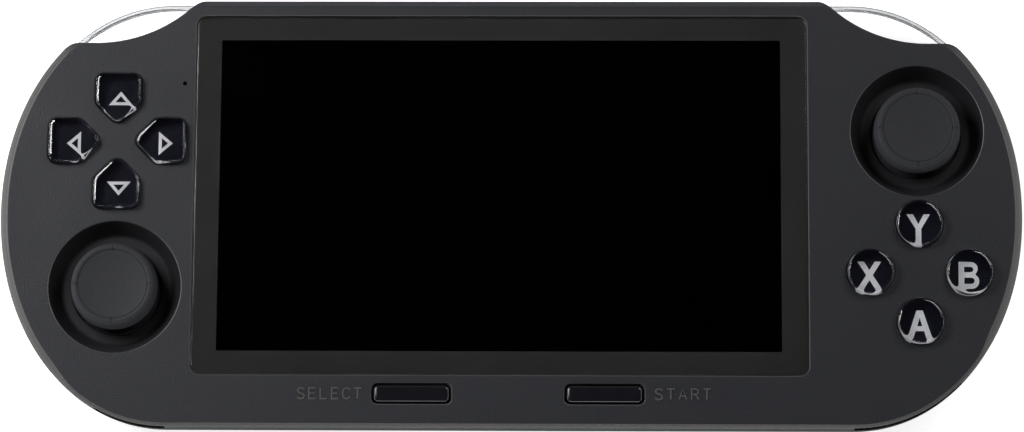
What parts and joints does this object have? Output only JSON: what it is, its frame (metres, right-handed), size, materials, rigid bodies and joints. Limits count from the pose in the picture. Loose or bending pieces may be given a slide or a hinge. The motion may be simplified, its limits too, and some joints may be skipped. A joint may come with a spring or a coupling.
{
  "type": "handheld game console",
  "caption": "Black handheld game console with a wide screen, direction pad, action buttons, two thumb sticks, menu keys and clear shoulder buttons, all working.",
  "frame": {"origin": "bottom centre of the bounding box, on the rear rest face", "axes": "+X to the player's right, +Y towards the shoulder edge, +Z out of the screen"},
  "size_m": [0.2076, 0.0884, 0.0215],
  "materials": {
    "shell_black": "fine spark texture, satin",
    "window_acrylic": "clear acrylic with printed dark border",
    "black_tape": "matte",
    "display_black": "unlit display",
    "display_tray": "stamped sheet",
    "flex_film": "polyimide film",
    "board_green": "solder mask",
    "chip_black": "moulded",
    "battery_foil": "pouch foil",
    "speaker_black": "moulded",
    "mic_metal": "pressed can",
    "key_navy": "clear gloss over a dark print",
    "menu_black": "gloss",
    "membrane_rubber": "matte silicone",
    "stick_rubber": "satin",
    "gimbal_white": "moulded",
    "stamped_steel": "stamped or turned",
    "sensor_blue": "moulded",
    "clear_plastic": "clear polycarbonate",
    "edge_black": "satin"
  },
  "bodies": {
    "console": {"front_shell": "shell_black", "rear_shell": "shell_black", "case_screws": "stamped_steel", "board_screws": "stamped_steel", "display_window": "window_acrylic", "window_adhesive": "black_tape", "lcd_gasket": "black_tape", "lcd_panel": "display_black", "lcd_tray": "display_tray", "display_ribbon": "flex_film", "main_board": "board_green", "board_chips": "chip_black", "battery": "battery_foil", "left_speaker": "speaker_black", "right_speaker": "speaker_black", "microphone": "mic_metal", "dpad_membrane": "membrane_rubber", "action_membrane": "membrane_rubber", "menu_membrane": "membrane_rubber", "power_switch": "stamped_steel", "volume_switches": "stamped_steel", "usb_port": "stamped_steel", "headphone_jack": "chip_black", "card_slot": "stamped_steel", "left_stick_board": "board_green", "left_stick_can": "stamped_steel", "left_stick_sensors": "sensor_blue", "left_shoulder_pin": "stamped_steel", "left_shoulder_switch": "chip_black", "right_stick_board": "board_green", "right_stick_can": "stamped_steel", "right_stick_sensors": "sensor_blue", "right_shoulder_pin": "stamped_steel", "right_shoulder_switch": "chip_black"},
    "dpad_up": {"dpad_up": "key_navy"},
    "dpad_down": {"dpad_down": "key_navy"},
    "dpad_left": {"dpad_left": "key_navy"},
    "dpad_right": {"dpad_right": "key_navy"},
    "action_a": {"action_a": "key_navy"},
    "action_b": {"action_b": "key_navy"},
    "action_x_key": {"action_x_key": "key_navy"},
    "action_y_key": {"action_y_key": "key_navy"},
    "select_key": {"select_key": "menu_black"},
    "start_key": {"start_key": "menu_black"},
    "volume_up_key": {"volume_up_key": "edge_black"},
    "volume_down_key": {"volume_down_key": "edge_black"},
    "power_knob": {"power_knob": "edge_black"},
    "left_stick_ring": {"left_stick_ring": "gimbal_white"},
    "left_stick": {"left_stick_shaft": "gimbal_white", "left_stick_cap": "stick_rubber"},
    "left_stick_yoke": {"left_stick_yoke": "gimbal_white"},
    "right_stick_ring": {"right_stick_ring": "gimbal_white"},
    "right_stick": {"right_stick_shaft": "gimbal_white", "right_stick_cap": "stick_rubber"},
    "right_stick_yoke": {"right_stick_yoke": "gimbal_white"},
    "left_shoulder_button": {"left_shoulder_button": "clear_plastic"},
    "left_shoulder_plunger": {"left_shoulder_plunger": "gimbal_white"},
    "right_shoulder_button": {"right_shoulder_button": "clear_plastic"},
    "right_shoulder_plunger": {"right_shoulder_plunger": "gimbal_white"}
  },
  "joints": [
    {"name": "dpad_up_press", "type": "slide", "parent": "console", "child": "dpad_up", "axis": [0, 0, -1], "range_m": [0, 0.0009], "stiffness_N_per_m": 1200, "deforming": ["dpad_membrane"]},
    {"name": "dpad_down_press", "type": "slide", "parent": "console", "child": "dpad_down", "axis": [0, 0, -1], "range_m": [0, 0.0009], "stiffness_N_per_m": 1200, "deforming": ["dpad_membrane"]},
    {"name": "dpad_left_press", "type": "slide", "parent": "console", "child": "dpad_left", "axis": [0, 0, -1], "range_m": [0, 0.0009], "stiffness_N_per_m": 1200, "deforming": ["dpad_membrane"]},
    {"name": "dpad_right_press", "type": "slide", "parent": "console", "child": "dpad_right", "axis": [0, 0, -1], "range_m": [0, 0.0009], "stiffness_N_per_m": 1200, "deforming": ["dpad_membrane"]},
    {"name": "action_a_press", "type": "slide", "parent": "console", "child": "action_a", "axis": [0, 0, -1], "range_m": [0, 0.0009], "stiffness_N_per_m": 1200, "deforming": ["action_membrane"]},
    {"name": "action_b_press", "type": "slide", "parent": "console", "child": "action_b", "axis": [0, 0, -1], "range_m": [0, 0.0009], "stiffness_N_per_m": 1200, "deforming": ["action_membrane"]},
    {"name": "action_x_press", "type": "slide", "parent": "console", "child": "action_x_key", "axis": [0, 0, -1], "range_m": [0, 0.0009], "stiffness_N_per_m": 1200, "deforming": ["action_membrane"]},
    {"name": "action_y_press", "type": "slide", "parent": "console", "child": "action_y_key", "axis": [0, 0, -1], "range_m": [0, 0.0009], "stiffness_N_per_m": 1200, "deforming": ["action_membrane"]},
    {"name": "select_press", "type": "slide", "parent": "console", "child": "select_key", "axis": [0, 0, -1], "range_m": [0, 0.0006], "stiffness_N_per_m": 1200, "deforming": ["menu_membrane"]},
    {"name": "start_press", "type": "slide", "parent": "console", "child": "start_key", "axis": [0, 0, -1], "range_m": [0, 0.0006], "stiffness_N_per_m": 1200, "deforming": ["menu_membrane"]},
    {"name": "volume_up_press", "type": "slide", "parent": "console", "child": "volume_up_key", "axis": [0, -1, 0], "range_m": [0, 0.0005], "stiffness_N_per_m": 1500},
    {"name": "volume_down_press", "type": "slide", "parent": "console", "child": "volume_down_key", "axis": [0, -1, 0], "range_m": [0, 0.0005], "stiffness_N_per_m": 1500},
    {"name": "power_slide", "type": "slide", "parent": "console", "child": "power_knob", "axis": [1, 0, 0], "range_m": [0, 0.004]},
    {"name": "left_stick_tilt_x", "type": "hinge", "parent": "console", "child": "left_stick_ring", "pos_m": [-0.08, -0.0157, 0.007], "axis": [1, 0, 0], "range_deg": [-12, 12], "stiffness_Nm_per_rad": 0.03},
    {"name": "left_stick_tilt_y", "type": "hinge", "parent": "left_stick_ring", "child": "left_stick", "pos_m": [-0.08, -0.0157, 0.007], "axis": [0, 1, 0], "range_deg": [-12, 12], "stiffness_Nm_per_rad": 0.03},
    {"name": "left_stick_yoke_turn", "type": "hinge", "parent": "console", "child": "left_stick_yoke", "pos_m": [-0.08, -0.0157, 0.007], "axis": [0, 1, 0], "range_deg": [-12, 12]},
    {"name": "right_stick_tilt_x", "type": "hinge", "parent": "console", "child": "right_stick_ring", "pos_m": [0.0826, 0.0168, 0.007], "axis": [1, 0, 0], "range_deg": [-12, 12], "stiffness_Nm_per_rad": 0.03},
    {"name": "right_stick_tilt_y", "type": "hinge", "parent": "right_stick_ring", "child": "right_stick", "pos_m": [0.0826, 0.0168, 0.007], "axis": [0, 1, 0], "range_deg": [-12, 12], "stiffness_Nm_per_rad": 0.03},
    {"name": "right_stick_yoke_turn", "type": "hinge", "parent": "console", "child": "right_stick_yoke", "pos_m": [0.0826, 0.0168, 0.007], "axis": [0, 1, 0], "range_deg": [-12, 12]},
    {"name": "left_shoulder_turn", "type": "hinge", "parent": "console", "child": "left_shoulder_button", "pos_m": [-0.066, 0.0372, 0.0126], "axis": [0, 0, 1], "range_deg": [0, 4], "stiffness_Nm_per_rad": 0.3},
    {"name": "left_plunger_slide", "type": "slide", "parent": "console", "child": "left_shoulder_plunger", "axis": [0, -1, 0], "range_m": [0, 0.00045]},
    {"name": "right_shoulder_turn", "type": "hinge", "parent": "console", "child": "right_shoulder_button", "pos_m": [0.066, 0.0372, 0.0126], "axis": [0, 0, -1], "range_deg": [0, 4], "stiffness_Nm_per_rad": 0.3},
    {"name": "right_plunger_slide", "type": "slide", "parent": "console", "child": "right_shoulder_plunger", "axis": [0, -1, 0], "range_m": [0, 0.00045]}
  ],
  "couplings": [
    {"joint": "left_stick_yoke_turn", "follows": "left_stick_tilt_y", "ratio": 1},
    {"joint": "right_stick_yoke_turn", "follows": "right_stick_tilt_y", "ratio": 1},
    {"joint": "left_plunger_slide", "follows": "left_shoulder_turn", "m_per_rad": 0.006},
    {"joint": "right_plunger_slide", "follows": "right_shoulder_turn", "m_per_rad": 0.006}
  ]
}
